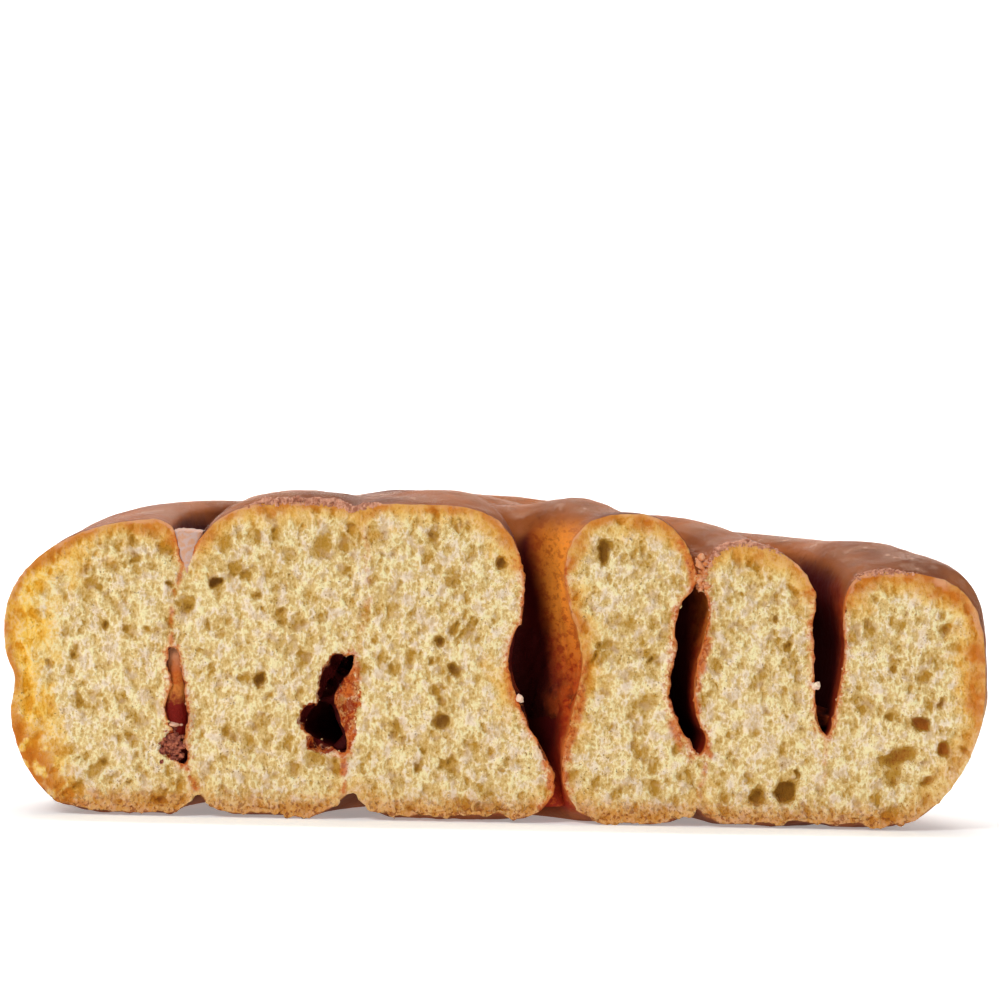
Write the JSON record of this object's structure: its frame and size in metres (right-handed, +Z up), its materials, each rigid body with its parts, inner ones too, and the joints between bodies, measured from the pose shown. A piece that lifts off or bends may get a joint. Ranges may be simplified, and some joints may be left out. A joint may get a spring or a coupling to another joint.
{
  "type": "coiled cinnamon doughnut half",
  "caption": "Half of a fried coiled yeast doughnut, cut upright through its eye: browned crust, open crumb and dark cinnamon seams between the turns.",
  "frame": {"origin": "middle of the bounding box in plan, on the surface that the dough rests on", "axes": "+X along the cut from the coil's thick side to its thin end, +Y away from the cut into the dough, +Z up"},
  "size_m": [0.12, 0.0608, 0.0395],
  "materials": {
    "dough": "fried yeast dough: browned crust with a thin glaze, cream crumb on the cut",
    "cinnamon": "dark sticky cinnamon sugar"
  },
  "bodies": {
    "root": {"dough": "dough", "cinnamon_outer_seam": "cinnamon", "cinnamon_inner_seam": "cinnamon", "cinnamon_eye": "cinnamon"}
  },
  "joints": []
}
